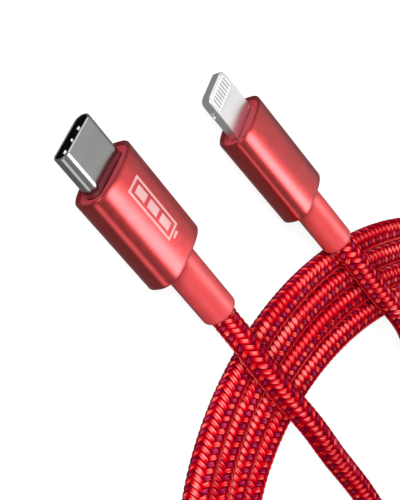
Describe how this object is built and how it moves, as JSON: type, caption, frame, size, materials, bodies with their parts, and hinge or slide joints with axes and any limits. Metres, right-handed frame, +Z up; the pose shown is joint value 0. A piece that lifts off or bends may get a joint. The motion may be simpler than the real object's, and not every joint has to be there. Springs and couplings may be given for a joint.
{
  "type": "charging cable",
  "caption": "Braided red charging cable with a reversible oval plug on one end, a thin tab plug on the other, and its cord lying in a flat oval coil.",
  "frame": {"origin": "middle of the two plugs' box, on the surface they lie on", "axes": "+X along the plugs from their tips towards the cord, +Y across them, +Z up"},
  "size_m": [0.1494, 0.1216, 0.0079],
  "materials": {
    "red_braid": "two-tone braided polyester, satin",
    "plug_shell_steel": "bright nickel-plated steel",
    "black_insulator": "moulded, satin",
    "gold_contacts": "gold-plated",
    "contact_metal": "plated, satin",
    "spring_steel": "bright",
    "tab_frame_metal": "satin",
    "white_carrier": "moulded, satin",
    "circuit_board": "solder mask",
    "chip_black": "moulded",
    "capacitor_ceramic": "ceramic",
    "shield_tin": "tinned sheet",
    "inner_mould": "moulded",
    "front_collar": "moulded, satin",
    "red_anodised": "bead-blasted and anodised, satin",
    "pale_print": "etched",
    "crimp_metal": "tinned",
    "relief_red": "smooth matte elastomer",
    "wire_red": "extruded",
    "wire_black": "extruded",
    "wire_white": "extruded"
  },
  "bodies": {
    "root": {"usb_c_shell": "plug_shell_steel", "usb_c_insulator": "black_insulator", "usb_c_upper_contacts": "gold_contacts", "usb_c_lower_contacts": "gold_contacts", "usb_c_latch_springs": "spring_steel", "usb_c_ground_springs": "spring_steel", "usb_c_circuit_board": "circuit_board", "usb_c_chip": "chip_black", "usb_c_inner_mould": "inner_mould", "usb_c_front_collar": "front_collar", "usb_c_sleeve": "red_anodised", "usb_c_battery_mark": "pale_print", "usb_c_crimp_ring": "crimp_metal", "usb_c_strain_relief": "relief_red", "usb_c_power_wire": "wire_red", "usb_c_ground_wire": "wire_black", "usb_c_data_wires": "wire_white", "tab_frame": "tab_frame_metal", "tab_contact_carrier": "white_carrier", "tab_upper_contacts": "contact_metal", "tab_lower_contacts": "contact_metal", "tab_circuit_board": "circuit_board", "tab_chip": "chip_black", "tab_capacitors": "capacitor_ceramic", "tab_shield_can": "shield_tin", "tab_inner_mould": "inner_mould", "tab_front_collar": "front_collar", "tab_sleeve": "red_anodised", "tab_crimp_ring": "crimp_metal", "tab_strain_relief": "relief_red", "tab_power_wire": "wire_red", "tab_ground_wire": "wire_black", "tab_data_wires": "wire_white", "cord_run_usb_c": "red_braid", "cord_coil": "red_braid", "cord_run_tab": "red_braid"}
  },
  "joints": []
}
